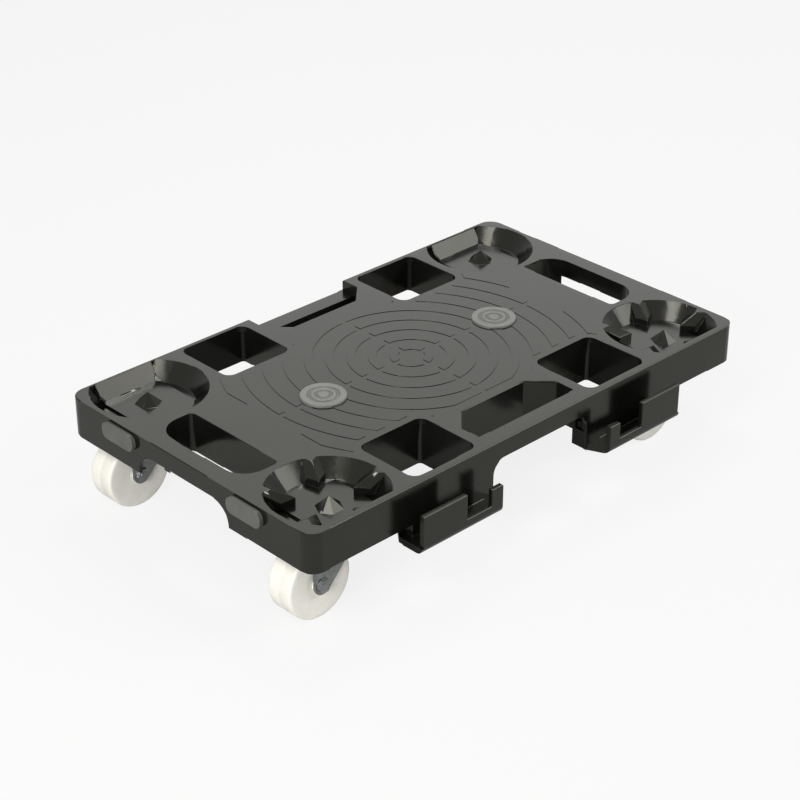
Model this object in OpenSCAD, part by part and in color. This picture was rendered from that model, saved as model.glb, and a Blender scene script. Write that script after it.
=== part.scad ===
// Platform dolly: a moulded deck with hand grips, square wells and two coupling hooks,
// carried by four swivel casters. Millimetres; the floor is z = 0 and the rest pose is drawn.

/* [Deck] */
// Length of the deck along X
deck_length = 600; // [560:1:640]
// Width of the deck along Y, without the hooks
deck_width = 360; // [340:1:380]
// Height of the skirt round the deck
skirt_height = 43; // [40:0.5:50]
// Plan radius of the four deck corners
corner_radius = 16; // [8:0.5:24]
// Thickness of the top plate
top_thickness = 4; // [3:0.5:6]
// Thickness of the skirt and of the walls round each opening
wall_thickness = 4; // [3:0.5:6]
// Height of the raised skirt and of the grip rails
rail_height = 20; // [16:0.5:24]
// Offset of the openings and recesses along Y from the middle of the deck
inner_offset = 2; // [0:0.5:4]
// Thickness of the stiffening ribs under the top plate
rib_thickness = 3; // [2:0.5:5]
// Depth of the stiffening ribs under the top plate
rib_depth = 14; // [10:0.5:30]

/* [Square wells] */
// Distance of each well's centre from the middle along X
well_x = 122; // [118:0.5:126]
// Distance of each well's centre from the middle row along Y
well_y = 134; // [130:0.5:134]
// Length of a well along X
well_length = 84; // [70:0.5:88]
// Width of a well along Y
well_width = 78; // [70:0.5:78]
// Plan radius of a well's corners at the deck top
well_radius = 10; // [6:0.5:14]
// Plan radius of a well's corners below its top flange
well_foot_radius = 4; // [2:0.5:6]
// Depth of the two wells on the hook side
near_well_depth = 52; // [44:0.5:54]

/* [Grips] */
// Distance of an end grip's inner edge from the middle of the deck
end_grip_inner_x = 235; // [230:0.5:240]
// Length of an end grip along X
end_grip_depth = 45; // [38:0.5:46]
// Width of an end grip along Y
end_grip_width = 130; // [110:0.5:140]
// Radius of an end grip's outer corners
end_grip_radius = 26; // [15:0.5:30]
// Radius of an end grip's inner corners
end_grip_inner_radius = 5; // [3:0.5:8]
// Distance of the near side grip's outer edge from the deck's edge
side_rail_width = 20; // [18:0.5:24]
// Half length of a side grip
side_grip_half = 67; // [60:0.5:68]
// Half length of a side grip's straight inner edge
side_grip_inner_half = 44; // [38:0.5:48]
// Width of the near side grip along Y
near_grip_width = 46; // [40:0.5:50]
// Width of the far side grip along Y
far_grip_width = 26; // [24:0.5:30]
// Drop of the far rail below the deck top
far_rail_drop = 11; // [6:0.5:12]

/* [Skirt arches] */
// Half width of the arch in each end skirt
end_arch_half = 67; // [60:0.5:70]
// Radius of the corners of an end arch
end_arch_radius = 22; // [14:0.5:22]
// Half width of the arch in each long skirt
side_arch_half = 67; // [60:0.5:68]
// Radius of the corners of a side arch
side_arch_radius = 15; // [10:0.5:18]

/* [Raised rings] */
// Number of raised rings on the deck top
band_count = 9; // [4:1:9]
// Inside radius of the smallest ring
band_first = 14; // [10:0.5:18]
// Distance from one ring to the next
band_pitch = 22; // [18:0.1:24]
// Width of a ring
band_width = 8.6; // [5:0.1:12]
// Height of a ring above the deck top
band_height = 0.5; // [0.2:0.1:1]
// Width of the gaps that cut the rings into quarters
band_gap = 5.4; // [3:0.1:8]
// Half length of the field of rings along X
band_field_x = 186; // [180:0.5:190]
// Half width of the field of rings along Y
band_field_y = 103; // [96:0.5:104]
// Bare margin between the rings and the wells
band_margin = 9; // [5:0.5:12]

/* [Corner recesses] */
// Distance of the corner recesses and swivel axes from the middle along X
caster_x = 235; // [232:0.5:237]
// Distance of the corner recesses from the middle row along Y
recess_y = 132; // [130:0.5:133]
// Radius of a corner recess at the deck top
recess_radius = 60; // [56:0.5:61]
// Radius of the recess floor
recess_floor_radius = 44; // [40:0.5:48]
// Depth of the recess floor
recess_depth = 16; // [12:0.5:17]
// Depth of the crescent dish beside the floor
dish_depth = 18.5; // [17:0.5:19]
// Distance of the dish's straight edge from the swivel axis
dish_offset = 35; // [32:0.5:40]
// Distance of the straight outer wall's foot from the swivel axis
flat_wall_foot = 32; // [28:0.5:36]
// Distance of the straight outer wall's rim from the swivel axis
flat_wall_rim = 43; // [38:0.5:44]
// Depth of the caster seat below the deck top
seat_depth = 22; // [20:0.5:24]
// Number of teeth round each near recess
tooth_count = 5; // [3:1:6]
// Turn of the first tooth
tooth_turn = -8; // [-20:1:0]
// Distance of a tooth's tip from the swivel axis
tooth_tip = 29; // [26:0.5:32]
// Distance of a tooth's widest place from the swivel axis
tooth_shoulder = 42; // [38:0.5:46]
// Half width of a tooth at its widest place
tooth_half = 10; // [7:0.5:12]
// Height of a tooth's upright tip above the recess floor
tooth_nose = 7.5; // [5:0.5:10]
// Radius of the corners of a pyramid on a recess floor
pyramid_radius = 14.5; // [12:0.5:18]
// Height of a pyramid above the recess floor
pyramid_height = 12; // [8:0.5:15]
// Depth of a pyramid's root in the floor
pyramid_root = 0.5; // [0.2:0.1:1]
// Distance of a pyramid from the middle along X
pyramid_x = 237; // [234:0.5:239]
// Distance of a pyramid from the middle along Y
pyramid_y = 134.5; // [132:0.5:136]

/* [Hooks] */
// Distance of a hook's inner end from the middle along X
hook_start = 77; // [76:0.5:80]
// Distance of a hook's outer end from the middle along X
hook_end = 182; // [178:0.5:183]
// Width of the channel between the skirt and the hook's lip
hook_channel = 17; // [14:0.5:20]
// Thickness of the lip
lip_thickness = 5.5; // [4:0.5:7]
// Depth of the hook's underside below the deck top
hook_depth = 62; // [58:0.5:64]
// Thickness of the hook's floor
hook_floor = 7; // [5:0.5:9]
// Depth of the long panel's top edge below the deck top
panel_top = 21; // [18:0.5:26]
// Depth of the short post's top edge below the deck top
post_top = 30; // [26:0.5:34]
// Depth of the notch's bottom edge below the deck top
notch_top = 48; // [42:0.5:50]
// Width of the short post
post_width = 15; // [12:0.5:18]
// Width of the notch
notch_width = 32.5; // [28:0.5:36]

/* [Pads and bumpers] */
// Distance of each round pad from the middle along X
pad_x = 121; // [115:0.5:125]
// Outside radius of a round pad
pad_radius = 24; // [20:0.5:26]
// Depth of the seat for a round pad
pad_seat = 1.5; // [1:0.5:2.5]
// Height of a round pad above the deck top
pad_proud = 2.5; // [1:0.5:4]
// Length of a bumper
bumper_length = 48; // [40:0.5:52]
// Height of a bumper
bumper_height = 18; // [14:0.5:18]
// Distance of a bumper's face in front of the skirt
bumper_proud = 5; // [3:0.5:8]
// Distance of each bumper's centre from the middle row along Y
bumper_y = 94; // [92:0.5:98]
// Depth of a bumper's centre below the deck top
bumper_z = 12; // [10.5:0.5:16]
// Radius of a bumper's studs
stud_radius = 3; // [2:0.5:4]
// Distance between a bumper's two studs
stud_pitch = 26; // [20:0.5:30]

/* [Casters] */
// Distance of the swivel axes from the middle of the deck along Y
caster_y = 135; // [133:0.5:136]
// Radius of a wheel
wheel_radius = 37.5; // [36:0.5:39]
// Width of a wheel
wheel_width = 31; // [28:0.5:33]
// Rounding of a wheel's tread edges
tread_round = 3; // [2:0.5:6]
// Distance of the wheel axle behind the swivel axis
trail = 29; // [26:0.5:30]
// Height of the caster from the floor to its plate
caster_height = 95.5; // [94:0.5:100]
// Thickness of the caster plate
plate_thickness = 3; // [2.5:0.5:4]
// Length of the caster plate along X
plate_length = 110; // [106:0.5:112]
// Width of the caster plate along Y
plate_width = 76; // [72:0.5:78]
// Distance between the plate's screws along X
screw_pitch_x = 94; // [92:0.5:96]
// Distance between the plate's screws along Y
screw_pitch_y = 60; // [58:0.5:62]
// Radius of a plate screw
screw_radius = 2.5; // [2:0.1:3]
// Length of a plate screw below its head
screw_length = 10; // [8:0.5:11]
// Radius of a plate screw's head
screw_head_radius = 5; // [4:0.1:6]
// Thickness of the fork's sheet
fork_thickness = 2.5; // [2:0.1:3]
// Radius of the fork's crown
crown_radius = 30; // [28:0.5:32]
// Gap for the balls between the plate and the crown
race_height = 5.6; // [5:0.1:6]
// Radius of the circle of balls
race_radius = 20; // [18:0.5:22]
// Radius of one ball
ball_radius = 2.5; // [2:0.1:3]
// Number of balls in a race
ball_count = 20; // [12:1:24]
// Radius of the kingpin
kingpin_radius = 6; // [5:0.1:8]
// Radius of the kingpin's lower head
kingpin_head_radius = 10; // [8:0.1:12]
// Radius of the round end of a fork leg
leg_radius = 10; // [9:0.5:12]
// Gap between the wheel's side and a fork leg
leg_gap = 1.5; // [1:0.5:3]
// Radius of the axle bolt
axle_radius = 4; // [3:0.1:5]
// Wall of the steel bush over the axle
bush_wall = 2; // [1.5:0.1:3]
// Width of the axle nut across its flats
nut_flats = 13; // [12:0.5:14]
// Height of the axle nut
nut_height = 3; // [2.5:0.5:5]
// Radius of the wheel's hub
hub_radius = 12; // [10:0.5:15]
// Depth of the dish in the wheel's side
wheel_dish = 1; // [0.5:0.5:2]

/* [Clearances] */
// Radial clearance of a running fit
running_clearance = 0.05; // [0.02:0.01:0.1]
// Gap between pieces that turn past each other
turning_gap = 0.4; // [0.3:0.05:1]

/* [Hidden] */
$fn = 64;
cut = 1;
deck_top_z = caster_height + seat_depth;
hook_reach = hook_channel + lip_thickness;
deck_shift_y = hook_reach / 2;
half_length = deck_length / 2;
half_width = deck_width / 2;
near_edge = -half_width;
far_edge = half_width;
near_grip_outer = near_edge + side_rail_width;
near_grip_inner = near_grip_outer + near_grip_width;
far_grip_outer = far_edge - side_rail_width;
far_grip_inner = far_grip_outer - far_grip_width;
far_rail_depth = far_rail_drop + rail_height;
end_grip_outer_x = end_grip_inner_x + end_grip_depth;
notch_start = hook_start + post_width;
panel_start = notch_start + notch_width;
lip_outer_y = near_edge - hook_reach;
lip_inner_y = near_edge - hook_channel;
hook_root_y = near_edge + side_rail_width;
hook_web_y = inner_offset - well_y - well_width / 2;
gusset_x = side_arch_half + 2;
axle_z = wheel_radius;
plate_z = caster_height - plate_thickness;
crown_z = plate_z - race_height - fork_thickness;
leg_inner = wheel_width / 2 + leg_gap;
leg_outer = leg_inner + fork_thickness;
bush_radius = axle_radius + bush_wall;
bush_half = leg_inner - 0.05;
kingpin_top = caster_height + 2;
kingpin_bottom = crown_z - turning_gap - 3.5;
screw_tip_depth = seat_depth - screw_length + plate_thickness;

// Corners are numbered 1 near left, 2 near right, 3 far left, 4 far right.
CORNER_X = [-1, 1, -1, 1];
CORNER_Y = [-1, -1, 1, 1];

// Colours for the preview
black_plastic = [0.16, 0.16, 0.15];
grey_rubber = [0.46, 0.46, 0.44];
zinc = [0.78, 0.78, 0.74];
white_nylon = [0.93, 0.93, 0.88];

// Placing
module on_deck() {
  translate([0, deck_shift_y, deck_top_z]) children();
}

module at_caster(k) {
  caster_place_y = deck_shift_y + CORNER_Y[k - 1] * caster_y;
  translate([CORNER_X[k - 1] * caster_x, caster_place_y, 0]) children();
}

module at_recess(k) {
  translate([CORNER_X[k - 1] * caster_x, inner_offset + CORNER_Y[k - 1] * recess_y, 0]) children();
}

// A block with rounded upright edges, from depth z1 down to depth z2
module round_block(x1, x2, y1, y2, z1, z2, r) {
  translate([0, 0, -z2]) {
    translate([x1 + r, y1, 0]) cube([x2 - x1 - 2 * r, y2 - y1, z2 - z1]);
    translate([x1, y1 + r, 0]) cube([x2 - x1, y2 - y1 - 2 * r, z2 - z1]);
    for (x = [x1 + r, x2 - r], y = [y1 + r, y2 - r])
      translate([x, y, 0]) cylinder(h = z2 - z1, r = r);
  }
}

module block(x1, x2, y1, y2, z1, z2) {
  translate([x1, y1, -z2]) cube([x2 - x1, y2 - y1, z2 - z1]);
}

module outline(z1, z2, inset) {
  round_block(-half_length + inset, half_length - inset, -half_width + inset,
    half_width - inset, z1, z2, corner_radius - inset);
}

// Square wells
module well_space(sx, sy, grow, z1, z2, r) {
  cx = sx * well_x;
  cy = inner_offset + sy * well_y;
  hx = well_length / 2 + grow;
  hy = well_width / 2 + grow;
  round_block(cx - hx, cx + hx, cy - hy, cy + hy, z1, z2, r + grow);
}

// End grips: small inner corners, large outer corners
module end_grip_space(s, grow, z1, z2) {
  hy = end_grip_width / 2 + grow;
  r = end_grip_radius + grow;
  inner = end_grip_inner_radius + grow;
  x1 = end_grip_inner_x - grow;
  x2 = end_grip_outer_x + grow;
  scale([s, 1, 1]) translate([0, inner_offset, 0]) intersection() {
    round_block(x1, x2 + inner, -hy, hy, z1, z2, inner);
    union() {
      block(x1, x2 - r, -hy, hy, z1, z2);
      block(x1, x2, -hy + r, hy - r, z1, z2);
      for (y = [-hy + r, hy - r]) translate([x2 - r, y, -z2]) cylinder(h = z2 - z1, r = r);
    }
  }
}

// Side grips: the inner corners are cut at an angle
module side_grip_space(inner_y, outer_y, grow, z1, z2) {
  s = sign(outer_y);
  bevel = side_grip_half - side_grip_inner_half;
  a = abs(inner_y) - grow;
  b = abs(outer_y) + grow;
  slant = grow * tan(22.5);
  w = side_grip_half + grow;
  n = side_grip_inner_half + slant;
  reach = min(bevel, b - a - grow);
  translate([0, 0, -z2]) linear_extrude(z2 - z1) scale([1, s])
    polygon([[-n, a], [n, a], [n + reach + slant, a + reach + slant], [w, a + reach + slant], [w, b],
      [-w, b], [-w, a + reach + slant], [-n - reach - slant, a + reach + slant]]);
}

// Corner recesses, drawn about the swivel axis with the outer long side at +y
module recess_cone(floor_radius, depth) {
  translate([0, 0, -depth]) cylinder(h = depth, r1 = floor_radius, r2 = recess_radius, $fn = 96);
  cylinder(h = cut, r = recess_radius, $fn = 96);
}

module flat_wall_side(depth) {
  slope = (flat_wall_rim - flat_wall_foot) / recess_depth;
  rotate([90, 0, 90]) translate([0, 0, -recess_radius - cut])
    linear_extrude(2 * (recess_radius + cut))
      polygon([[-recess_radius - cut, cut], [flat_wall_rim + slope * cut, cut],
        [flat_wall_rim - slope * depth, -depth], [-recess_radius - cut, -depth]]);
}

module recess_space() {
  intersection() {
    recess_cone(recess_floor_radius, recess_depth);
    flat_wall_side(recess_depth);
  }
  intersection() {
    recess_cone(recess_floor_radius + 2, dish_depth);
    for (s = [-1, 1])
      translate([s > 0 ? dish_offset : -recess_radius - cut, -recess_radius, -dish_depth])
        cube([recess_radius + cut - dish_offset, recess_radius + flat_wall_rim, dish_depth + cut]);
  }
}

module tooth() {
  low = -recess_depth - 1;
  nose = tooth_nose - recess_depth;
  out = recess_radius + 2;
  w = tooth_half * 0.8;
  polyhedron(
    points = [
      [tooth_tip, 0, low], [tooth_shoulder, tooth_half, low], [out, w, low], [out, -w, low],
      [tooth_shoulder, -tooth_half, low], [tooth_tip, 0, nose], [tooth_shoulder, tooth_half, nose - 0.5],
      [out, w, 0], [out, -w, 0], [tooth_shoulder, -tooth_half, nose - 0.5], [recess_radius - 8, 0, 0]
    ],
    faces = [
      [4, 3, 2, 1, 0], [1, 6, 5, 0], [2, 7, 6, 1], [3, 8, 7, 2], [4, 9, 8, 3], [0, 5, 9, 4],
      [6, 10, 5], [7, 10, 6], [8, 10, 7], [9, 10, 8], [5, 10, 9]
    ]
  );
}

module floor_pyramid(k) {
  translate([CORNER_X[k - 1] * pyramid_x, CORNER_Y[k - 1] * pyramid_y, -recess_depth - pyramid_root])
    rotate([0, 0, CORNER_Y[k - 1] > 0 ? 30 : 3])
      cylinder(h = pyramid_height + pyramid_root, r1 = pyramid_radius, r2 = 0.3, $fn = 6);
}

// Arches in the skirt, drawn along X with the opening below
module arch(half, radius, top, low, thickness) {
  z = -low - cut;
  translate([-half + radius, 0, z]) cube([2 * (half - radius), thickness, low + cut - top]);
  translate([-half, 0, z]) cube([2 * half, thickness, low + cut - top - radius]);
  for (s = [-1, 1]) translate([s * (half - radius), 0, -top - radius])
    rotate([-90, 0, 0]) cylinder(h = thickness, r = radius);
}

// One hook, on the +X side: floor, the web behind the channel, gusset and the stepped lip
module hook() {
  translate([0, 0, -hook_depth]) linear_extrude(hook_floor)
    polygon([[gusset_x, hook_root_y], [gusset_x, near_edge], [hook_start + 2, lip_outer_y],
      [hook_end + 2, lip_outer_y], [hook_end + 2, near_edge + 9], [hook_end - 7, hook_root_y]]);
  block(gusset_x, hook_end - 7, near_edge, hook_web_y, top_thickness - cut, hook_depth - cut);
  block(hook_start, hook_end, lip_outer_y, lip_inner_y, notch_top, hook_depth);
  block(hook_start, notch_start, lip_outer_y, lip_inner_y, post_top, hook_depth);
  block(panel_start, hook_end, lip_outer_y, lip_inner_y, panel_top, hook_depth);
  translate([side_arch_half, 0, 0]) rotate([90, 0, 90]) linear_extrude(wall_thickness)
    polygon([[near_edge, -skirt_height + cut], [hook_root_y, -skirt_height + cut],
      [hook_root_y, -hook_depth + 0.5], [near_edge, -hook_depth + 0.5]]);
}

module hook_rounding() {
  r = 8;
  translate([0, lip_outer_y, -hook_depth]) rotate([0, 90, 0]) difference() {
    translate([-r, -cut, gusset_x - cut]) cube([r + cut, r + cut, hook_end - gusset_x + 4]);
    translate([-r, r, gusset_x - 2 * cut]) cylinder(h = hook_end - gusset_x + 6, r = r);
  }
}

module deck_walls() {
  outline(0, top_thickness, 0);
  difference() {
    outline(0, skirt_height, 0);
    outline(top_thickness, skirt_height + cut, wall_thickness);
  }
  for (sx = [-1, 1]) {
    well_space(sx, 1, wall_thickness, 0, skirt_height, well_foot_radius);
    well_space(sx, -1, wall_thickness, 0, near_well_depth, well_foot_radius);
    end_grip_space(sx, wall_thickness, 0, skirt_height);
  }
  side_grip_space(near_grip_inner, near_grip_outer, wall_thickness, 0, skirt_height);
  side_grip_space(far_grip_inner, far_grip_outer, wall_thickness, 0, skirt_height);
  block(-side_grip_half - wall_thickness, side_grip_half + wall_thickness, far_grip_outer,
    far_edge - 1, 0, far_rail_depth);
  intersection() {
    outline(0, seat_depth, 0);
    for (k = [1:4]) at_recess(k) translate([0, 0, -seat_depth])
      cylinder(h = seat_depth, r = recess_radius + 3, $fn = 96);
  }
}

module deck_ribs() {
  t = rib_thickness / 2;
  low = rib_depth + top_thickness;
  for (y = [-46, 0, 46]) block(-end_grip_inner_x, end_grip_inner_x, inner_offset + y - t,
    inner_offset + y + t, cut, low);
  for (x = [-76, -25, 25, 76]) block(x - t, x + t, near_grip_inner + t, far_grip_inner - t, cut, low);
  for (x = [-195, -145, 145, 195]) block(x - t, x + t, inner_offset - 66, inner_offset + 66, cut, low);
}

module deck_openings() {
  for (sx = [-1, 1]) {
    well_space(sx, 1, 0, -cut, skirt_height, well_radius);
    well_space(sx, 1, 0, top_thickness + 2, skirt_height + cut, well_foot_radius);
    well_space(sx, -1, 0, -cut, near_well_depth, well_radius);
    end_grip_space(sx, 0, -cut, skirt_height + cut);
  }
  side_grip_space(near_grip_inner, near_grip_outer, 0, -cut, skirt_height + cut);
  side_grip_space(far_grip_inner, far_grip_outer, 0, -cut, skirt_height + cut);
  side_grip_space(far_grip_inner, far_edge + cut, 0, -cut, far_rail_drop);
  block(-side_grip_half, side_grip_half, far_grip_outer + wall_thickness, far_edge - wall_thickness,
    far_rail_drop + top_thickness, skirt_height + cut);
  translate([0, near_edge - cut, 0])
    arch(side_arch_half, side_arch_radius, rail_height, near_well_depth, side_rail_width + cut + 0.5);
  translate([0, far_grip_outer - 0.5, 0])
    arch(side_arch_half, 10, far_rail_depth, skirt_height, side_rail_width + cut + 0.5);
  for (s = [-1, 1]) scale([s, 1, 1]) translate([end_grip_outer_x - 0.5, inner_offset, 0]) rotate([0, 0, 90])
    translate([0, -side_rail_width - cut, 0])
      arch(end_arch_half, end_arch_radius, rail_height, skirt_height, side_rail_width + cut + 0.5);
}

module deck_recesses() {
  for (k = [1:4]) at_recess(k) {
    difference() {
      scale([1, CORNER_Y[k - 1], 1]) recess_space();
      if (CORNER_Y[k - 1] < 0) for (i = [0:tooth_count - 1])
        rotate([0, 0, tooth_turn + i * 360 / tooth_count]) tooth();
    }
  }
  translate([0, -deck_shift_y, -deck_top_z]) for (k = [1:4]) at_caster(k) translate([0, 0, caster_height - cut]) {
    cylinder(h = cut + 2.5, r = kingpin_head_radius + 1);
    for (x = [-1, 1], y = [-1, 1]) translate([x * screw_pitch_x / 2, y * screw_pitch_y / 2, 0])
      cylinder(h = cut + screw_length - plate_thickness + 0.5, r = screw_radius);
  }
}

module ring_bands() {
  difference() {
    intersection() {
      union() for (i = [0:band_count - 1]) translate([0, inner_offset, -0.1]) difference() {
        cylinder(h = band_height + 0.1, r = band_first + i * band_pitch + band_width, $fn = 128);
        translate([0, 0, -cut]) cylinder(h = band_height + 3 * cut, r = band_first + i * band_pitch, $fn = 128);
      }
      block(-band_field_x, band_field_x, inner_offset - band_field_y, inner_offset + band_field_y, -cut, cut);
    }
    block(-band_gap / 2, band_gap / 2, near_edge, far_edge, -cut, cut);
    block(-half_length, half_length, inner_offset - band_gap / 2, inner_offset + band_gap / 2, -cut, cut);
    for (sx = [-1, 1], sy = [-1, 1]) well_space(sx, sy, band_margin, -cut, cut, well_radius);
  }
}

module bumper_studs(length, radius) {
  for (y = [-1, 1]) translate([0, y * stud_pitch / 2, 0]) rotate([0, 90, 0]) cylinder(h = length, r = radius);
}

module deck_body() {
  difference() {
    union() {
      difference() {
        union() {
          deck_walls();
          intersection() {
            deck_ribs();
            outline(0, skirt_height, wall_thickness / 2);
          }
        }
        deck_openings();
      }
      ring_bands();
      for (s = [-1, 1]) scale([s, 1, 1]) difference() {
        hook();
        hook_rounding();
      }
    }
    deck_recesses();
    for (s = [-1, 1]) {
      translate([s * pad_x, inner_offset, -pad_seat]) cylinder(h = pad_seat + cut, r = pad_radius);
      well_space(s, -1, 0, top_thickness + 2, hook_depth + cut, well_foot_radius);
      scale([s, 1, 1]) for (t = [-1, 1])
        translate([-half_length - cut, inner_offset + t * bumper_y, -bumper_z])
          bumper_studs(wall_thickness + 2 * cut, stud_radius);
    }
  }
}

module deck() {
  color(black_plastic) on_deck() union() {
    deck_body();
    for (k = [1:4]) floor_pyramid(k);
  }
}

// Round rubber pad with raised rings
module pad(s) {
  color(grey_rubber) on_deck() translate([s * pad_x, inner_offset, -pad_seat]) rotate_extrude()
    polygon([[0, 0], [pad_radius, 0], [pad_radius, pad_seat + pad_proud - 1], [pad_radius - 1, pad_seat + pad_proud],
      [17, pad_seat + pad_proud], [16, pad_seat + pad_proud - 1], [13, pad_seat + pad_proud - 1],
      [12.5, pad_seat + pad_proud], [9.5, pad_seat + pad_proud], [9, pad_seat + pad_proud - 1],
      [6, pad_seat + pad_proud - 1], [5.5, pad_seat + pad_proud], [0, pad_seat + pad_proud]]);
}

// Push-in bumper: a rounded face with two headed studs
module bumper(sx, sy) {
  r = bumper_height / 2 - 1;
  hl = bumper_length / 2;
  hh = bumper_height / 2;
  color(grey_rubber) on_deck() scale([sx, 1, 1])
    translate([half_length, inner_offset + sy * bumper_y, -bumper_z]) {
      translate([0.05, 0, 0]) rotate([0, 90, 0]) rotate([0, 0, 90])
        round_block(-hl, hl, -hh, hh, -bumper_proud, 0, r);
      translate([-wall_thickness - 0.1, 0, 0]) bumper_studs(wall_thickness + 1, stud_radius);
      translate([-wall_thickness - 2, 0, 0]) bumper_studs(1.95, stud_radius + 1);
    }
}

// Caster pieces, drawn about the swivel axis with the wheel trailing towards -X
module plate(k) {
  color(zinc) at_caster(k) difference() {
    translate([0, 0, caster_height])
      round_block(-plate_length / 2, plate_length / 2, -plate_width / 2, plate_width / 2, 0, plate_thickness, 8);
    translate([0, 0, plate_z - cut]) cylinder(h = plate_thickness + 2 * cut, r = kingpin_radius);
    for (x = [-1, 1], y = [-1, 1]) translate([x * screw_pitch_x / 2, y * screw_pitch_y / 2, plate_z - cut])
      cylinder(h = plate_thickness + 2 * cut, r = screw_radius + 0.3);
    translate([0, 0, plate_z - ball_radius + 0.6]) rotate_extrude() translate([race_radius, 0]) circle(r = ball_radius);
  }
}

module screws(k) {
  head_height = 3.5;
  color(zinc) at_caster(k) for (x = [-1, 1], y = [-1, 1])
    translate([x * screw_pitch_x / 2, y * screw_pitch_y / 2, plate_z - head_height]) difference() {
      union() {
        cylinder(h = head_height, r = screw_head_radius);
        cylinder(h = head_height + screw_length, r = screw_radius);
      }
      translate([0, 0, -cut]) cylinder(h = 2 + cut, r = 2.4, $fn = 6);
    }
}

module kingpin(k) {
  color(zinc) at_caster(k) {
    translate([0, 0, kingpin_bottom]) cylinder(h = kingpin_top - kingpin_bottom, r = kingpin_radius);
    translate([0, 0, kingpin_bottom]) cylinder(h = 3.5, r = kingpin_head_radius);
    translate([0, 0, caster_height]) cylinder(h = kingpin_top - caster_height, r = kingpin_head_radius);
  }
}

module balls(k) {
  color(zinc) at_caster(k) for (i = [0:ball_count - 1]) rotate([0, 0, i * 360 / ball_count])
    translate([race_radius, 0, plate_z - ball_radius + 0.55]) sphere(r = ball_radius);
}

module fork(k) {
  top = crown_z + fork_thickness;
  front = 28;
  back = 31;
  color(zinc) at_caster(k) difference() {
    union() {
      translate([0, 0, crown_z]) cylinder(h = fork_thickness, r = crown_radius);
      translate([0, 0, crown_z]) difference() {
        cylinder(h = fork_thickness + 4, r = crown_radius);
        translate([0, 0, -cut]) cylinder(h = fork_thickness + 4 + 2 * cut, r = crown_radius - 2);
      }
      for (s = [-1, 1]) translate([0, s > 0 ? leg_outer : -leg_inner, 0]) rotate([90, 0, 0]) {
        linear_extrude(fork_thickness) polygon([[-back, top], [front, top], [front, crown_z],
          [-trail + leg_radius * 0.74, axle_z - leg_radius * 0.68], [-trail - leg_radius, axle_z],
          [-trail - leg_radius, axle_z + 22]]);
        translate([-trail, axle_z, 0]) cylinder(h = fork_thickness, r = leg_radius);
      }
    }
    translate([0, 0, crown_z - cut]) cylinder(h = fork_thickness + 2 * cut, r = kingpin_radius + running_clearance);
    translate([-trail, leg_outer + cut, axle_z]) rotate([90, 0, 0])
      cylinder(h = 2 * (leg_outer + cut), r = axle_radius + 0.05);
  }
}

module axle(k) {
  color(zinc) at_caster(k) translate([-trail, 0, axle_z]) rotate([90, 0, 0]) {
    translate([0, 0, -leg_outer]) cylinder(h = 2 * leg_outer + nut_height + 0.5, r = axle_radius);
    translate([0, 0, -leg_outer - 4.5]) cylinder(h = 4.5, r = nut_flats / 2 / cos(30), $fn = 6);
    translate([0, 0, -leg_outer - 1]) cylinder(h = 1, r = nut_flats / 2 + 1.5);
  }
}

module nut(k) {
  color(zinc) at_caster(k) translate([-trail, -leg_outer, axle_z]) rotate([90, 0, 0]) difference() {
    union() {
      cylinder(h = 1, r = nut_flats / 2 + 1.5);
      cylinder(h = nut_height, r = nut_flats / 2 / cos(30), $fn = 6);
    }
    translate([0, 0, -cut]) cylinder(h = nut_height + 2 * cut, r = axle_radius);
  }
}

module bush(k) {
  color(zinc) at_caster(k) translate([-trail, 0, axle_z]) rotate([90, 0, 0]) difference() {
    translate([0, 0, -bush_half]) cylinder(h = 2 * bush_half, r = bush_radius);
    translate([0, 0, -bush_half - cut]) cylinder(h = 2 * (bush_half + cut), r = axle_radius + 0.05);
  }
}

module wheel(k) {
  w = wheel_width / 2;
  bore = bush_radius + running_clearance;
  hub_half = w + leg_gap - turning_gap;
  rim = wheel_radius - tread_round;
  color(white_nylon) at_caster(k) translate([-trail, 0, axle_z]) rotate([90, 0, 0]) rotate_extrude($fn = 128)
    union() {
      polygon([[bore, -hub_half], [hub_radius - 1, -hub_half], [hub_radius, -hub_half + 1],
        [hub_radius + 1, -w + wheel_dish], [rim - 2, -w], [rim, -w],
        [wheel_radius, -w + tread_round], [wheel_radius, w - tread_round], [rim, w], [rim - 2, w],
        [hub_radius + 1, w - wheel_dish], [hub_radius, hub_half - 1],
        [hub_radius - 1, hub_half], [bore, hub_half]]);
      for (s = [-1, 1]) translate([rim, s * (w - tread_round)]) circle(r = tread_round);
    }
}

deck();
pad(-1);  // pad_left
pad(1);  // pad_right
bumper(-1, -1);  // bumper_1
bumper(1, -1);  // bumper_2
bumper(-1, 1);  // bumper_3
bumper(1, 1);  // bumper_4
plate(1);  // plate_1
screws(1);  // screws_1
kingpin(1);  // kingpin_1
balls(1);  // balls_1
fork(1);  // fork_1
axle(1);  // axle_1
nut(1);  // nut_1
bush(1);  // bush_1
wheel(1);  // wheel_1
plate(2);  // plate_2
screws(2);  // screws_2
kingpin(2);  // kingpin_2
balls(2);  // balls_2
fork(2);  // fork_2
axle(2);  // axle_2
nut(2);  // nut_2
bush(2);  // bush_2
wheel(2);  // wheel_2
plate(3);  // plate_3
screws(3);  // screws_3
kingpin(3);  // kingpin_3
balls(3);  // balls_3
fork(3);  // fork_3
axle(3);  // axle_3
nut(3);  // nut_3
bush(3);  // bush_3
wheel(3);  // wheel_3
plate(4);  // plate_4
screws(4);  // screws_4
kingpin(4);  // kingpin_4
balls(4);  // balls_4
fork(4);  // fork_4
axle(4);  // axle_4
nut(4);  // nut_4
bush(4);  // bush_4
wheel(4);  // wheel_4
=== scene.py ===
import logging
import math
from dataclasses import dataclass
from enum import Enum
from typing import Any, Iterable, Optional

import bmesh
import bpy
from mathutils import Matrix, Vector
from mathutils.bvhtree import BVHTree
from mathutils.kdtree import KDTree


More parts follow.
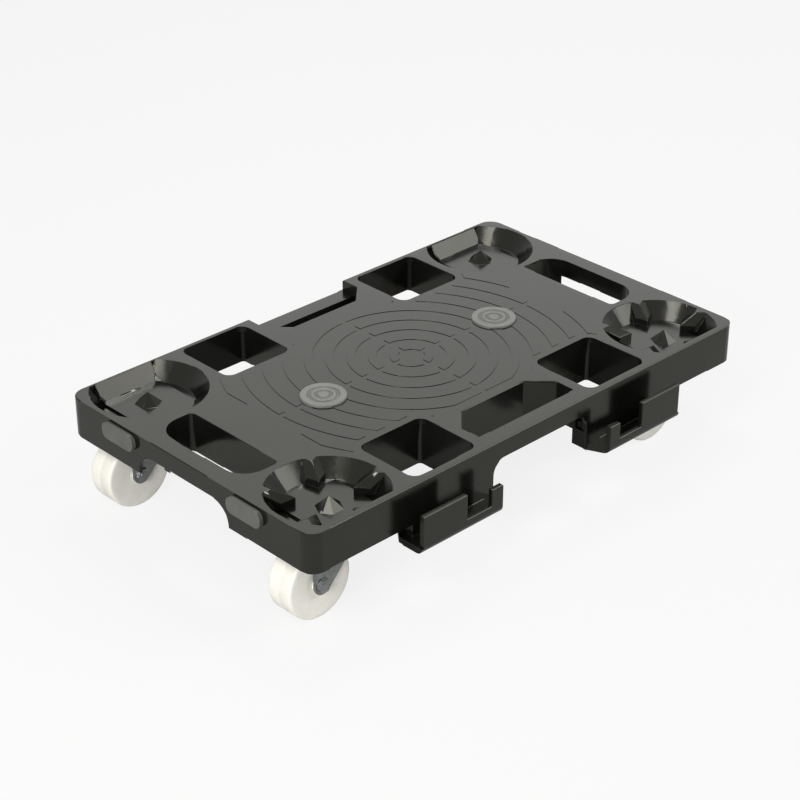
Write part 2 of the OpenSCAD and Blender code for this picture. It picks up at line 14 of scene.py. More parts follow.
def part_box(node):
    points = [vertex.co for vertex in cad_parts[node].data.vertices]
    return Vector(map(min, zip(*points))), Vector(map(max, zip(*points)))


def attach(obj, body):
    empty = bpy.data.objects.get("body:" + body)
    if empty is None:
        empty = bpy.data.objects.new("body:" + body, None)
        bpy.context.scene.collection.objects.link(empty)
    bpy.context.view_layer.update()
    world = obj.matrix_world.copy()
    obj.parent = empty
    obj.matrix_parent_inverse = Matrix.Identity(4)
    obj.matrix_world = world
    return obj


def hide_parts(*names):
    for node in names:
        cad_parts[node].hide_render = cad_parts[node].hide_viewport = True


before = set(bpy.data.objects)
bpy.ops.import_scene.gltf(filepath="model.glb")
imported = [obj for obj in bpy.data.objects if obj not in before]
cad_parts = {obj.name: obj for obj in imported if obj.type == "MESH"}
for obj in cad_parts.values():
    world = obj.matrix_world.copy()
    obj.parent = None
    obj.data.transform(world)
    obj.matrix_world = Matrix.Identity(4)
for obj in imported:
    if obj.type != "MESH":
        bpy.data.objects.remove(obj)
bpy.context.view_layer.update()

# The looks of a stackable platform dolly: one moulded black deck with four wells and four grips, four
# corner recesses and two side hooks, grey pads and bumpers, and four swivel casters with white wheels.
# Lengths are in metres, in the CAD model's frame: +X along the deck, +Y away from the hooks, +Z up.

MM = 0.001
DECK_TOP = 117.5 * MM
# Slopes and number of the looks that tell whether an edge of the deck can be seen past the rest of it.
LOOK_SLOPES = (0.15, 0.5, 1.2, 4.0)
LOOK_TURNS = 12
LOG = logging.getLogger("platform_dolly")


class Slot(Enum):
    """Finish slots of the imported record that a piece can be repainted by."""

    DECK = "deck_plastic"
    RUBBER = "grey_rubber"
    ZINC = "zinc_plate"
    STEEL = "bright_steel"
    NYLON = "white_nylon"


def srgb(code: str) -> tuple[float, float, float, float]:
    """Turn a colour written as sRGB hex into the linear colour that shaders take.

    Args:
        code: Six hex digits, with or without a leading number sign.

    Returns:
        Linear red, green and blue, and an alpha of one.
    """
    digits = code.lstrip("#")
    parts = [int(digits[i:i + 2], 16) / 255 for i in (0, 2, 4)]
    linear = [p / 12.92 if p <= 0.04045 else ((p + 0.055) / 1.055) ** 2.4 for p in parts]
    return (linear[0], linear[1], linear[2], 1.0)


def add_node(tree: bpy.types.NodeTree, kind: str, inputs: Optional[dict[Any, Any]] = None,
             **settings: Any) -> bpy.types.Node:
    """Add one node, set its properties, and fill or link its inputs.

    Args:
        tree: Node tree that gets the node.
        kind: Type name of the node.
        inputs: Socket name or index to a plain value, or to an output socket that is linked in.
        **settings: Properties of the node itself.

    Returns:
        The new node.
    """
    node = tree.nodes.new(kind)
    for key, value in settings.items():
        setattr(node, key, value)
    for key, value in (inputs or {}).items():
        if isinstance(value, bpy.types.NodeSocket):
            tree.links.new(value, node.inputs[key])
        else:
            node.inputs[key].default_value = value
    return node


def set_ramp(node: bpy.types.Node,
             stops: Iterable[tuple[float, tuple[float, float, float, float]]]) -> None:
    """Give a colour ramp its stops, from the lowest position to the highest."""
    ramp = node.color_ramp
    while len(ramp.elements) > 1:
        ramp.elements.remove(ramp.elements[-1])
    for index, (position, colour) in enumerate(stops):
        stop = ramp.elements[0] if index == 0 else ramp.elements.new(position)
        stop.position = position
        stop.color = colour


def new_surface(name: str) -> tuple[bpy.types.Material, bpy.types.NodeTree, bpy.types.Node]:
    """Start a node material that holds one Principled surface.

    Args:
        name: Name of the real finish.

    Returns:
        The material, its node tree and its Principled node.
    """
    material = bpy.data.materials.new(name)
    material.use_nodes = True
    return material, material.node_tree, material.node_tree.nodes["Principled BSDF"]


@dataclass(frozen=True)
class MouldedBlackPlastic:
    """Semi-gloss black polypropylene from a spark-textured mould: dark, with soft reflections.

    Wide patches of tone and gloss come from handling. The real grain is about 0.2 mm, too fine to show from
    here, so it is drawn at 0.9 mm.
    """

    dark: str = "#0d0d0c"
    light: str = "#161614"
    roughness: float = 0.14
    roughness_spread: float = 0.07
    grain_mm: float = 0.9
    patch_mm: float = 70.0

    def build(self) -> bpy.types.Material:
        """Make the material."""
        material, tree, surface = new_surface("moulded black polypropylene")
        place = add_node(tree, "ShaderNodeTexCoord").outputs["Object"]
        patches = add_node(tree, "ShaderNodeTexNoise", {"Vector": place, "Scale": 1 / (self.patch_mm * MM),
                                                        "Detail": 3.0, "Roughness": 0.55})
        grain = add_node(tree, "ShaderNodeTexNoise", {"Vector": place, "Scale": 1 / (self.grain_mm * MM),
                                                      "Detail": 2.0, "Roughness": 0.5})
        tint = add_node(tree, "ShaderNodeValToRGB", {"Fac": patches.outputs["Fac"]})
        set_ramp(tint, [(0.35, srgb(self.dark)), (0.7, srgb(self.light))])
        tree.links.new(tint.outputs["Color"], surface.inputs["Base Color"])
        smudge = add_node(tree, "ShaderNodeMapRange",
                          {"Value": patches.outputs["Fac"], "From Min": 0.3, "From Max": 0.7,
                           "To Min": self.roughness, "To Max": self.roughness + self.roughness_spread})
        tree.links.new(smudge.outputs["Result"], surface.inputs["Roughness"])
        bump = add_node(tree, "ShaderNodeBump", {"Height": grain.outputs["Fac"], "Strength": 0.12,
                                                 "Distance": 0.05 * MM})
        tree.links.new(bump.outputs["Normal"], surface.inputs["Normal"])
        surface.inputs["IOR"].default_value = 1.49
        surface.inputs["Specular IOR Level"].default_value = 0.42
        surface.inputs["Specular Tint"].default_value = srgb("#fffff0")
        return material


@dataclass(frozen=True)
class GreyRubber:
    """Matt grey thermoplastic rubber: even grey with faint rubbed patches, and a darker grey in a thin band
    at the height of the pads' grooves.

    The real grain is about 0.3 mm, too fine to show from here, so it is drawn at 1.2 mm.
    """

    dark: str = "#71716d"
    light: str = "#7c7c77"
    groove_tone: str = "#34332f"
    groove_height: float = 119.0 * MM
    groove_dark_reach: float = 0.35 * MM
    groove_fade_reach: float = 0.8 * MM
    groove_darkening: float = 0.4
    grain_mm: float = 1.2
    patch_mm: float = 14.0
    name: str = "grey thermoplastic rubber"

    def build(self) -> bpy.types.Material:
        """Make the material."""
        material, tree, surface = new_surface(self.name)
        place = add_node(tree, "ShaderNodeTexCoord").outputs["Object"]
        patches = add_node(tree, "ShaderNodeTexNoise", {"Vector": place, "Scale": 1 / (self.patch_mm * MM),
                                                        "Detail": 4.0, "Roughness": 0.6})
        grain = add_node(tree, "ShaderNodeTexNoise", {"Vector": place, "Scale": 1 / (self.grain_mm * MM)})
        tint = add_node(tree, "ShaderNodeValToRGB", {"Fac": patches.outputs["Fac"]})
        set_ramp(tint, [(0.3, srgb(self.dark)), (0.7, srgb(self.light))])
        # Darker grey within a thin band round the height of the pads' grooves.
        height = add_node(tree, "ShaderNodeSeparateXYZ", {"Vector": place}).outputs["Z"]
        depth = add_node(tree, "ShaderNodeMath", {0: height, 1: self.groove_height}, operation="SUBTRACT")
        off = add_node(tree, "ShaderNodeMath", {0: depth.outputs[0]}, operation="ABSOLUTE")
        groove_tone = add_node(tree, "ShaderNodeMapRange",
                        {"Value": off.outputs[0], "From Min": self.groove_dark_reach,
                         "From Max": self.groove_fade_reach, "To Min": self.groove_darkening, "To Max": 0.0})
        groove_darkened = add_node(tree, "ShaderNodeMix",
                          {"Factor": groove_tone.outputs["Result"], "A": tint.outputs["Color"],
                           "B": srgb(self.groove_tone)}, data_type="RGBA")
        tree.links.new(groove_darkened.outputs["Result"], surface.inputs["Base Color"])
        bump = add_node(tree, "ShaderNodeBump", {"Height": grain.outputs["Fac"], "Strength": 0.25,
                                                 "Distance": 0.08 * MM})
        tree.links.new(bump.outputs["Normal"], surface.inputs["Normal"])
        surface.inputs["Roughness"].default_value = 0.5
        surface.inputs["IOR"].default_value = 1.5
        return material


@dataclass(frozen=True)
class ZincPlate:
    """Bright zinc plated pressed steel: silver with a faint mottled spangle and soft rolling marks.

    The real spangle is about 1 mm, too fine to show from here, so it is drawn at 3.5 mm on the pressed
    pieces and at 1.5 mm on the small turned ones.
    """

    dark: str = "#717476"
    light: str = "#8e9190"
    spangle_mm: float = 3.5
    haze_mm: float = 12.0
    haze_gloss_loss: float = 0.12
    name: str = "bright zinc plated steel"
    roughness: float = 0.3

    def build(self) -> bpy.types.Material:
        """Make the material."""
        material, tree, surface = new_surface(self.name)
        place = add_node(tree, "ShaderNodeTexCoord").outputs["Object"]
        spangle = add_node(tree, "ShaderNodeTexVoronoi",
                           {"Vector": place, "Scale": 1 / (self.spangle_mm * MM)})
        haze = add_node(tree, "ShaderNodeTexNoise",
                        {"Vector": place, "Scale": 1 / (self.haze_mm * MM), "Detail": 5.0})
        mixed = add_node(tree, "ShaderNodeMath", {0: spangle.outputs["Distance"], 1: 0.35},
                         operation="MULTIPLY")
        total = add_node(tree, "ShaderNodeMath", {0: mixed.outputs[0], 1: haze.outputs["Fac"]},
                         operation="ADD")
        tint = add_node(tree, "ShaderNodeValToRGB", {"Fac": total.outputs[0]})
        set_ramp(tint, [(0.35, srgb(self.dark)), (0.85, srgb(self.light))])
        tree.links.new(tint.outputs["Color"], surface.inputs["Base Color"])
        worn = add_node(tree, "ShaderNodeMapRange",
                        {"Value": total.outputs[0], "From Min": 0.3, "From Max": 0.9,
                         "To Min": self.roughness + self.haze_gloss_loss, "To Max": self.roughness})
        tree.links.new(worn.outputs["Result"], surface.inputs["Roughness"])
        surface.inputs["Metallic"].default_value = 1.0
        return material


@dataclass(frozen=True)
class WhiteNylon:
    """Cream white moulded nylon: slightly yellow and satin, with a little floor dust worked into the tread.

    The real dust specks are about 0.3 mm, too fine to show from here, so they are drawn at 1.4 mm.
    """

    clean: str = "#f6f4ec"
    shaded: str = "#efece2"
    dust: str = "#d2cdbf"
    tread_radius: float = 37.5 * MM
    dusty_reach: float = 3.0 * MM
    most_dust: float = 0.5
    cloud_mm: float = 9.0
    speck_mm: float = 1.4

    def build(self, centre: Vector, axis: Vector) -> bpy.types.Material:
        """Make the material for one wheel.

        Args:
            centre: Middle of the wheel, which the dust on the tread is measured from.
            axis: Direction of the axle.

        Returns:
            The material.
        """
        material, tree, surface = new_surface("moulded white nylon")
        place = add_node(tree, "ShaderNodeTexCoord").outputs["Object"]
        centred = add_node(tree, "ShaderNodeMapping", {"Vector": place, "Location": -centre})
        flat = add_node(tree, "ShaderNodeVectorMath", {0: centred.outputs["Vector"], 1: axis},
                        operation="CROSS_PRODUCT")
        radius = add_node(tree, "ShaderNodeVectorMath", {0: flat.outputs["Vector"]}, operation="LENGTH")
        rim = add_node(tree, "ShaderNodeMapRange",
                       {"Value": radius.outputs["Value"], "From Min": self.tread_radius - self.dusty_reach,
                        "From Max": self.tread_radius, "To Min": 0.0, "To Max": self.most_dust})
        cloud = add_node(tree, "ShaderNodeTexNoise",
                         {"Vector": place, "Scale": 1 / (self.cloud_mm * MM), "Detail": 5.0,
                          "Roughness": 0.62})
        speck = add_node(tree, "ShaderNodeTexNoise",
                         {"Vector": place, "Scale": 1 / (self.speck_mm * MM), "Detail": 3.0})
        tint = add_node(tree, "ShaderNodeValToRGB", {"Fac": cloud.outputs["Fac"]})
        set_ramp(tint, [(0.3, srgb(self.shaded)), (0.6, srgb(self.clean))])
        dusty = add_node(tree, "ShaderNodeMath", {0: rim.outputs["Result"], 1: speck.outputs["Fac"]},
                         operation="MULTIPLY")
        mixed = add_node(tree, "ShaderNodeMix", {"Factor": dusty.outputs[0], "A": tint.outputs["Color"],
                                                 "B": srgb(self.dust)}, data_type="RGBA")
        tree.links.new(mixed.outputs["Result"], surface.inputs["Base Color"])
        bump = add_node(tree, "ShaderNodeBump", {"Height": speck.outputs["Fac"], "Strength": 0.15,
                                                 "Distance": 0.06 * MM})
        tree.links.new(bump.outputs["Normal"], surface.inputs["Normal"])
        surface.inputs["Roughness"].default_value = 0.38
        surface.inputs["IOR"].default_value = 1.53
        return material


def shade(bm: bmesh.types.BMesh, sharp_angle: float = 30.0) -> None:
    """Make every face smooth and keep the edges sharp that turn more than an angle.

    Args:
        bm: Mesh to shade.
        sharp_angle: Smallest turn of a sharp edge, in degrees.
    """
    limit = math.radians(sharp_angle)
    for face in bm.faces:
        face.smooth = True
    for edge in bm.edges:
        edge.smooth = not (edge.is_manifold and edge.calc_face_angle(0.0) > limit)


def merged_copy(node: str, flat_angle: float = 0.5) -> bmesh.types.BMesh:
    """Copy a CAD node's loose triangles into one closed mesh with flat faces joined up.

    Args:
        node: Name of the CAD node.
        flat_angle: Largest turn between triangles that become one face, in degrees.

    Returns:
        The merged mesh.
    """
    bm = bmesh.new()
    bm.from_mesh(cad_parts[node].data)
    bmesh.ops.remove_doubles(bm, verts=bm.verts, dist=2e-6)
    bmesh.ops.dissolve_limit(bm, angle_limit=math.radians(flat_angle), verts=bm.verts, edges=bm.edges)
    return bm


def make_piece(name: str, bm: bmesh.types.BMesh, material: bpy.types.Material, body: str,
               nodes: Iterable[str] = ()) -> bpy.types.Object:
    """Turn a finished mesh into a piece of the dolly.

    Args:
        name: Name of the new object.
        bm: Its mesh, which is freed here.
        material: Finish of the whole piece.
        body: Body that carries it.
        nodes: CAD nodes that it stands for.

    Returns:
        The new object.
    """
    mesh = bpy.data.meshes.new(name)
    bm.to_mesh(mesh)
    bm.free()
    mesh.materials.append(material)
    piece = bpy.data.objects.new(name, mesh)
    bpy.context.scene.collection.objects.link(piece)
    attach(piece, body)
    if nodes:
        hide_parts(*nodes)
    LOG.info("%s: %d vertices on %s", name, len(mesh.vertices), body)
    return piece


def round_edges(piece: bpy.types.Object, width: float, segments: int, sharp_angle: float = 32.0) -> None:
    """Round a piece's sharp edges with live modifiers.

    Args:
        piece: Object that is rounded.
        width: Width of the rounding.
        segments: Steps across it.
        sharp_angle: Smallest turn of an edge that is rounded, in degrees.
    """
    bevel = piece.modifiers.new("edge rounding", "BEVEL")
    bevel.width = width
    bevel.segments = segments
    bevel.limit_method = "ANGLE"
    bevel.angle_limit = math.radians(sharp_angle)
    bevel.miter_outer = "MITER_ARC"
    even_shading(piece)


def even_shading(piece: bpy.types.Object) -> None:
    """Let a piece's large faces lead its smooth shading, so that they look flat beside their roundings."""
    normals = piece.modifiers.new("even shading", "WEIGHTED_NORMAL")
    normals.keep_sharp = True


def spun(profile: Iterable[tuple[float, float]], centre: Vector, axis: Vector,
         steps: int) -> bmesh.types.BMesh:
    """Spin a closed profile round an axis into a solid ring.

    Args:
        profile: Radius and height of each corner, in order round the section.
        centre: Point on the axis that heights are measured from.
        axis: Direction of the axis, which is level.
        steps: Segments of a full turn.

    Returns:
        The closed mesh.
    """
    bm = bmesh.new()
    across = axis.cross(Vector((0.0, 0.0, 1.0))).normalized()
    corners = [bm.verts.new(centre + across * radius + axis * height) for radius, height in profile]
    edges = [bm.edges.new((corners[i - 1], corners[i])) for i in range(len(corners))]
    bmesh.ops.spin(bm, geom=corners + edges, cent=centre, axis=axis, angle=math.tau, steps=steps,
                   use_merge=True)
    bmesh.ops.remove_doubles(bm, verts=bm.verts, dist=1e-6)
    bmesh.ops.recalc_face_normals(bm, faces=bm.faces)
    return bm


def arc(centre: tuple[float, float], radius: float, start: float, end: float,
        steps: int) -> list[tuple[float, float]]:
    """Points along an arc of a profile.

    Args:
        centre: Radius and height of the arc's centre.
        radius: Radius of the arc.
        start: First angle in degrees.
        end: Last angle in degrees.
        steps: Number of segments.

    Returns:
        The points from start to end.
    """
    turns = [math.radians(start + (end - start) * i / steps) for i in range(steps + 1)]
    return [(centre[0] + radius * math.cos(t), centre[1] + radius * math.sin(t)) for t in turns]


@dataclass
class DeckMoulding:
    """The one-piece deck with its wells, grips, recesses, hooks, raised rings and ribs.

    Its edges are rounded by weight. Places where the rounding goes wrong are eased and rounded again.
    """

    rim_radius: float = 1.3 * MM
    ring_radius: float = 0.2 * MM
    ring_height: float = 0.5 * MM
    sharp_angle: float = 26.0
    room_share: float = 0.32
    tile: float = 28 * MM
    tile_offset: float = 3.7 * MM
    tiled_x: float = 300 * MM
    tiled_y: float = 200 * MM
    trials: int = 5
    gentle_trials: int = 2
    ease_share: float = 0.45
    ease_reach: float = 2.5 * MM
    stray_share: float = 0.45
    fault_share: float = 0.75
    fault_facing: float = 0.3
    smallest_turn: float = 2e-8

    def build(self, material: bpy.types.Material) -> bpy.types.Object:
        """Make the deck from its CAD solid and round its edges."""
        blank = merged_copy("deck")
        surface = BVHTree.FromBMesh(blank)
        self.divide(blank)
        self.weigh(blank, surface)
        for trial in range(self.trials):
            piece = self.rounded(blank)
            moved = self.draw_back(piece, surface)
            faults = self.faults(piece, surface)
            LOG.info("deck rounding %d: %d corners drawn back, %d faults", trial, moved, len(faults))
            if trial == self.trials - 1 or not faults:
                break
            self.ease(blank, faults, self.ease_share if trial < self.gentle_trials else 0.0)
            piece.free()
        blank.free()
        shade(piece, self.sharp_angle)
        deck = make_piece("deck_moulding", piece, material, "deck", ["deck"])
        even_shading(deck)
        return deck

    def weigh(self, bm: bmesh.types.BMesh, surface: BVHTree) -> None:
        """Give each edge that shows the weight that its rounding needs."""
        weight = bm.edges.layers.float.new("bevel_weight_edge")
        for edge in bm.edges:
            radius = self.edge_radius(edge)
            if radius > 0.0 and self.shows(edge, surface):
                edge[weight] = radius / self.rim_radius

    def ease(self, bm: bmesh.types.BMesh, faults: list[Vector], share: float) -> None:
        """Lower the rounding near places where it went wrong.

        Args:
            bm: Weighted mesh, changed here.
            faults: The places.
            share: What is left of the rounding there.
        """
        weight = bm.edges.layers.float["bevel_weight_edge"]
        tree = KDTree(len(faults))
        for index, place in enumerate(faults):
            tree.insert(place, index)
        tree.balance()
        for edge in bm.edges:
            if edge[weight] > 0.0:
                start, end = edge.verts[0].co, edge.verts[1].co
                places = (start, end, (start + end) / 2)
                if min(tree.find(place)[2] for place in places) < self.ease_reach:
                    edge[weight] *= share

    def faults(self, bm: bmesh.types.BMesh, surface: BVHTree) -> list[Vector]:
        """Find the places where a facet of the rounded mesh left the surface or turned over.

        Args:
            bm: Rounded mesh.
            surface: The surface before rounding.

        Returns:
            The middle and the corners of each such facet.
        """
        places = []
        for loops in bm.calc_loop_triangles():
            first, second, third = (loop.vert.co for loop in loops)
            turn = (second - first).cross(third - first)
            if turn.length < self.smallest_turn:
                continue
            middle = (first + second + third) / 3
            distance = surface.find_nearest(middle)[3]
            facing = turn.normalized().dot(loops[0].face.normal)
            if distance > self.fault_share * self.rim_radius or facing < self.fault_facing:
                places += [middle, first.copy(), second.copy(), third.copy()]
        return places

    def divide(self, bm: bmesh.types.BMesh) -> None:
        """Cut the large flat faces into tiles, so that each stays simple when its edges are rounded."""
        for axis, reach in ((0, self.tiled_x), (1, self.tiled_y)):
            for step in range(int(-reach / self.tile), int(reach / self.tile) + 1):
                place, normal = Vector(), Vector()
                place[axis] = step * self.tile + self.tile_offset
                normal[axis] = 1.0
                bmesh.ops.bisect_plane(bm, geom=bm.verts[:] + bm.edges[:] + bm.faces[:], dist=0.02 * MM,
                                       plane_co=place, plane_no=normal)

    def rounded(self, bm: bmesh.types.BMesh) -> bmesh.types.BMesh:
        """Round the weighted edges of a mesh.

        Args:
            bm: Mesh with a bevel weight on its edges.

        Returns:
            A new, rounded mesh.
        """
        mesh = bpy.data.meshes.new("deck blank")
        bm.to_mesh(mesh)
        blank = bpy.data.objects.new("deck blank", mesh)
        bpy.context.scene.collection.objects.link(blank)
        bevel = blank.modifiers.new("rounding", "BEVEL")
        bevel.width = self.rim_radius
        bevel.segments = 3
        bevel.limit_method = "WEIGHT"
        bevel.use_clamp_overlap = False
        done = blank.evaluated_get(bpy.context.evaluated_depsgraph_get())
        result = bmesh.new()
        result.from_mesh(done.to_mesh())
        bpy.data.objects.remove(blank)
        bpy.data.meshes.remove(mesh)
        return result

    def draw_back(self, bm: bmesh.types.BMesh, surface: BVHTree) -> int:
        """Draw corners that the rounding threw clear of the solid back onto it.

        Args:
            bm: Rounded mesh, changed here.
            surface: The surface before rounding.

        Returns:
            How many corners moved.
        """
        moved = 0
        for vert in bm.verts:
            place, _, _, distance = surface.find_nearest(vert.co)
            if place is not None and distance > self.stray_share * self.rim_radius:
                vert.co = place
                moved += 1
        return moved

    def edge_radius(self, edge: bmesh.types.BMEdge) -> float:
        """Radius that the mould gives an edge.

        Args:
            edge: Edge of the merged deck.

        Returns:
            Its rounding in metres, or zero where the surface runs on.
        """
        if not edge.is_manifold or edge.calc_face_angle(0.0) < math.radians(self.sharp_angle):
            return 0.0
        rise = min(v.co.z for v in edge.verts) - DECK_TOP
        if rise > 0.2 * self.ring_height:
            return self.ring_radius
        room = min(self.face_reach(edge, face) for face in edge.link_faces)
        if rise > -0.2 * self.ring_height and room < 1.2 * self.ring_height:
            return 0.0
        return min(self.rim_radius, self.room_share * room)

    @staticmethod
    def shows(edge: bmesh.types.BMEdge, surface: BVHTree) -> bool:
        """Tell whether an edge can be seen from above or from the side, past the rest of the deck.

        Args:
            edge: Edge of the merged deck.
            surface: Surface of the deck.

        Returns:
            True where one of the looks reaches it.
        """
        out = sum((face.normal for face in edge.link_faces), Vector()).normalized()
        start = (edge.verts[0].co + edge.verts[1].co) / 2 + out * 0.3 * MM
        for slope in LOOK_SLOPES:
            for step in range(LOOK_TURNS):
                turn = step * math.tau / LOOK_TURNS
                ray = Vector((math.cos(turn), math.sin(turn), slope)).normalized()
                if ray.dot(out) > 0.05 and surface.ray_cast(start, ray)[0] is None:
                    return True
        return False

    @staticmethod
    def face_reach(edge: bmesh.types.BMEdge, face: bmesh.types.BMFace) -> float:
        """Measure how far a face reaches from one of its edges, square to it.

        Args:
            edge: Edge of the face.
            face: The face.

        Returns:
            The reach in metres.
        """
        start = edge.verts[0].co
        along = (edge.verts[1].co - start).normalized()
        offsets = [vert.co - start for vert in face.verts]
        return max((offset - along * offset.dot(along)).length for offset in offsets)


@dataclass
class GripPad:
    """Round rubber pad pressed into the deck top, with raised rings."""

    side: str
    rounding: float = 0.5 * MM

    def build(self, material: bpy.types.Material) -> bpy.types.Object:
        """Make the pad."""
        node = f"pad_{self.side}"
        bm = merged_copy(node)
        shade(bm)
        piece = make_piece(f"grip_{node}", bm, material, "deck", [node])
        round_edges(piece, self.rounding, 3)
        return piece


@dataclass
class SideBumper:
    """Push-in rubber bumper on an end of the deck."""

    number: int
    rounding: float = 2.0 * MM

    def build(self, material: bpy.types.Material) -> bpy.types.Object:
        """Make the bumper."""
        node = f"bumper_{self.number}"
        bm = merged_copy(node)
        shade(bm)
        piece = make_piece(f"rubber_{node}", bm, material, "deck", [node])
        round_edges(piece, self.rounding, 4)
        return piece


@dataclass
class Wheel:
    """Solid nylon wheel: flat tread with rounded shoulders, plain dished sides and a hub at each side."""

    number: int
    centre: Vector
    axis: Vector
    radius: float = 37.5 * MM
    half_width: float = 15.5 * MM
    shoulder: float = 3.0 * MM
    dish: float = 1.0 * MM
    hub_radius: float = 8.6 * MM
    hub_half: float = 16.6 * MM
    hub_round: float = 0.6 * MM
    bore: float = 6.05 * MM
    bore_chamfer: float = 0.3 * MM
    seam_half: float = 0.45 * MM
    seam_depth: float = 0.12 * MM
    steps: int = 120

    def side(self) -> list[tuple[float, float]]:
        """Give half of the section, from the bore out to the middle of the tread, on the positive side."""
        rim = self.radius - self.shoulder
        web = self.half_width - self.dish
        nook = 0.2 * MM
        points = [(self.bore, self.hub_half - self.bore_chamfer),
                  (self.bore + self.bore_chamfer, self.hub_half)]
        points += arc((self.hub_radius - self.hub_round, self.hub_half - self.hub_round), self.hub_round,
                      90, 0, 4)
        points += arc((self.hub_radius + self.hub_round + nook, web + nook), self.hub_round, 200, 265, 4)
        points += [(self.hub_radius + 6 * MM, web + 0.1 * MM),
                   (rim - 8 * MM, self.half_width - 0.45 * MM),
                   (rim - 3 * MM, self.half_width - 0.06 * MM)]
        points += arc((rim, self.half_width - self.shoulder), self.shoulder, 88, 4, 7)
        points += [(self.radius, self.half_width - self.shoulder - 1.5 * MM),
                   (self.radius, self.seam_half),
                   (self.radius - self.seam_depth, self.seam_half / 3)]
        return points

    def build(self, finish: WhiteNylon) -> bpy.types.Object:
        """Make the wheel."""
        half = self.side()
        profile = half + [(radius, -height) for radius, height in reversed(half)]
        bm = spun(profile, self.centre, self.axis, self.steps)
        shade(bm, 40.0)
        nylon = finish.build(self.centre, self.axis)
        node = f"wheel_{self.number}"
        return make_piece(f"nylon_{node}", bm, nylon, node, [node])


@dataclass
class SwivelCaster:
    """One caster: top plate with screws, ball race, forked bracket, axle bolt and wheel."""

    number: int

    @property
    def swivel(self) -> str:
        """Body that turns about the kingpin."""
        return f"swivel_{self.number}"

    def build(self, zinc: bpy.types.Material, steel: bpy.types.Material,
              nylon: WhiteNylon) -> list[bpy.types.Object]:
        """Make every piece of the caster.

        Args:
            zinc: Finish of the pressed steel pieces.
            steel: Finish of the turned pieces.
            nylon: Finish of the wheel.

        Returns:
            The pieces.
        """
        k = self.number
        low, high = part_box(f"wheel_{k}")
        wheel = Wheel(k, (low + high) / 2, Vector((0.0, 1.0, 0.0)))
        pieces = [wheel.build(nylon)]
        pieces.append(self.dressed(f"plate_{k}", "deck", zinc, 0.4 * MM))
        pieces.append(self.dressed(f"fork_{k}", self.swivel, zinc, 0.6 * MM))
        pieces.append(self.dressed(f"screws_{k}", "deck", steel, 0.3 * MM))
        pieces.append(self.dressed(f"kingpin_{k}", "deck", steel, 0.4 * MM))
        pieces.append(self.dressed(f"balls_{k}", "deck", steel, 0.0))
        pieces.append(self.dressed(f"axle_{k}", self.swivel, steel, 0.5 * MM))
        pieces.append(self.dressed(f"nut_{k}", self.swivel, steel, 0.4 * MM))
        pieces.append(self.dressed(f"bush_{k}", self.swivel, steel, 0.3 * MM))
        return pieces

    def dressed(self, node: str, body: str, material: bpy.types.Material,
                rounding: float) -> bpy.types.Object:
        """Copy one CAD piece and round its edges.

        Args:
            node: CAD node that the piece stands for.
            body: Body that carries it.
            material: Its finish.
            rounding: Width of its edge rounding.

        Returns:
            The piece.
        """
        bm = merged_copy(node)
        shade(bm)
        piece = make_piece(f"steel_{node}", bm, material, body, [node])
        if rounding:
            round_edges(piece, rounding, 2)
        return piece


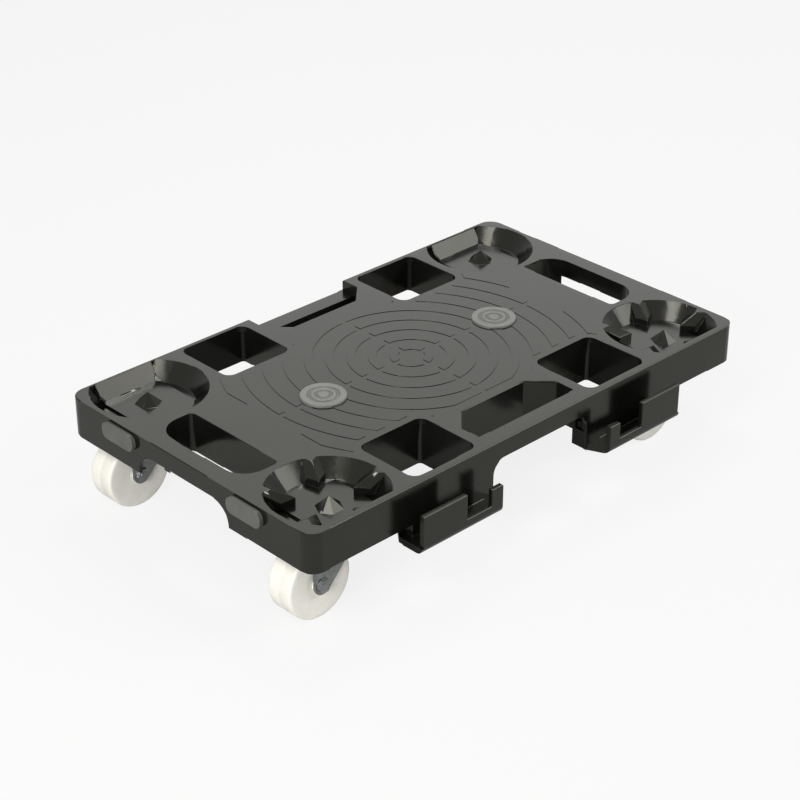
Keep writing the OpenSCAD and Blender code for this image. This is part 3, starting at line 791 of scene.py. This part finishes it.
@dataclass
class Studio:
    """Pale floor, soft lamps, white surroundings and the camera at the photograph's angle."""

    lens: float = 93.6
    eye: Vector = Vector((-1.3049, -1.3303, 1.1232))
    back: Vector = Vector((-0.60275, -0.62848, 0.49164))
    floor_colour: str = "#cfcfcd"
    floor_half: float = 12.0
    middle: Vector = Vector((0.0, 0.0, 0.1))

    def place_camera(self) -> None:
        """Put the camera where the photograph was taken from."""
        data = bpy.data.cameras.new("photo camera")
        data.lens = self.lens
        data.sensor_width = 36.0
        data.clip_end = 50.0
        camera = bpy.data.objects.new("photo camera", data)
        camera.location = self.eye
        camera.rotation_mode = "QUATERNION"
        camera.rotation_quaternion = self.back.to_track_quat("Z", "Y")
        bpy.context.scene.collection.objects.link(camera)
        bpy.context.scene.camera = camera

    @staticmethod
    def seen_directly(tree: bpy.types.NodeTree, to_camera: float, to_gloss: float) -> bpy.types.NodeSocket:
        """Share of plain white for each kind of looking ray, and nought for the light itself.

        Args:
            tree: Node tree that gets the nodes.
            to_camera: Share for a camera or transmission ray.
            to_gloss: Share for a glossy ray.

        Returns:
            The share.
        """
        path = add_node(tree, "ShaderNodeLightPath")
        gloss = add_node(tree, "ShaderNodeMath", {0: path.outputs["Is Glossy Ray"], 1: to_gloss},
                         operation="MULTIPLY")
        straight = add_node(tree, "ShaderNodeMath",
                            {0: path.outputs["Is Camera Ray"], 1: path.outputs["Is Transmission Ray"]},
                            operation="MAXIMUM")
        direct = add_node(tree, "ShaderNodeMath", {0: straight.outputs[0], 1: to_camera},
                          operation="MULTIPLY")
        both = add_node(tree, "ShaderNodeMath", {0: gloss.outputs[0], 1: direct.outputs[0]},
                        operation="MAXIMUM")
        return both.outputs[0]

    def make_floor(self) -> None:
        """Lay the pale floor, which keeps the dolly's shadow."""
        bm = bmesh.new()
        bmesh.ops.create_grid(bm, x_segments=1, y_segments=1, size=self.floor_half)
        mesh = bpy.data.meshes.new("studio floor")
        bm.to_mesh(mesh)
        bm.free()
        floor = bpy.data.objects.new("studio floor", mesh)
        bpy.context.scene.collection.objects.link(floor)
        material, tree, surface = new_surface("matt white studio paper")
        surface.inputs["Base Color"].default_value = srgb(self.floor_colour)
        surface.inputs["Roughness"].default_value = 0.9
        surface.inputs["Specular IOR Level"].default_value = 0.0
        glow = add_node(tree, "ShaderNodeEmission", {"Color": srgb("#ffffff"), "Strength": 1.0})
        mixed = add_node(tree, "ShaderNodeMixShader", {0: self.seen_directly(tree, 0.85, 0.14),
                                                       1: surface.outputs[0], 2: glow.outputs[0]})
        tree.links.new(mixed.outputs[0], tree.nodes["Material Output"].inputs["Surface"])
        mesh.materials.append(material)

    def light_world(self, strength: float = 0.2) -> None:
        """Give the room plain white walls that light softly and show white."""
        world = bpy.data.worlds.new("white room")
        world.use_nodes = True
        tree = world.node_tree
        soft = tree.nodes["Background"]
        soft.inputs["Color"].default_value = srgb("#ffffff")
        soft.inputs["Strength"].default_value = strength
        white = add_node(tree, "ShaderNodeBackground", {"Color": srgb("#ffffff"), "Strength": 1.0})
        mixed = add_node(tree, "ShaderNodeMixShader", {0: self.seen_directly(tree, 1.0, 0.5),
                                                       1: soft.outputs[0], 2: white.outputs[0]})
        tree.links.new(mixed.outputs[0], tree.nodes["World Output"].inputs["Surface"])
        bpy.context.scene.world = world

    def add_softbox(self, name: str, place: Vector, size: float, power: float) -> None:
        """Hang one square soft lamp that faces the dolly.

        Args:
            name: Name of the lamp.
            place: Where it hangs.
            size: Length of its sides.
            power: Its power in watts.
        """
        data = bpy.data.lights.new(name, "AREA")
        data.size = size
        data.energy = power
        lamp = bpy.data.objects.new(name, data)
        lamp.location = place
        lamp.rotation_mode = "QUATERNION"
        lamp.rotation_quaternion = (place - self.middle).to_track_quat("Z", "Y")
        bpy.context.scene.collection.objects.link(lamp)

    def build(self) -> None:
        """Set up the whole studio."""
        self.place_camera()
        self.make_floor()
        self.light_world()
        self.add_softbox("back softbox", Vector((1.9, 2.0, 1.75)), 1.9, 10.5)
        self.add_softbox("overhead softbox", Vector((0.55, 0.6, 1.6)), 0.4, 7.0)
        self.add_softbox("upper left softbox", Vector((-1.25, -0.32, 1.7)), 0.7, 13.0)
        self.add_softbox("right softbox", Vector((1.85, -1.7, 1.75)), 1.6, 36.0)
        self.add_softbox("left softbox", Vector((-2.2, -0.9, 0.9)), 1.0, 38.0)
        bpy.context.scene.view_settings.view_transform = "Standard"


def main() -> None:
    """Build the studio and every piece of the dolly, in order."""
    logging.basicConfig(level=logging.INFO, format="%(name)s: %(message)s")
    Studio().build()
    pad_rubber = GreyRubber().build()
    # The bumpers get the pads' grey rubber painted darker, as painted shade on the deck's end faces.
    shaded_bumper_rubber = GreyRubber(dark="#4d4d4a", light="#575753", name="grey rubber darkened as painted shade").build()
    zinc = ZincPlate().build()
    steel = ZincPlate(dark="#77797a", light="#989a99", spangle_mm=1.5, name="bright turned steel",
                      roughness=0.32).build()
    nylon = WhiteNylon()
    plastic = MouldedBlackPlastic().build()
    DeckMoulding().build(plastic)
    for side in ("left", "right"):
        GripPad(side).build(pad_rubber)
    for number in range(1, 5):
        SideBumper(number).build(shaded_bumper_rubber)
        SwivelCaster(number).build(zinc, steel, nylon)


if __name__ == "__main__":
    main()
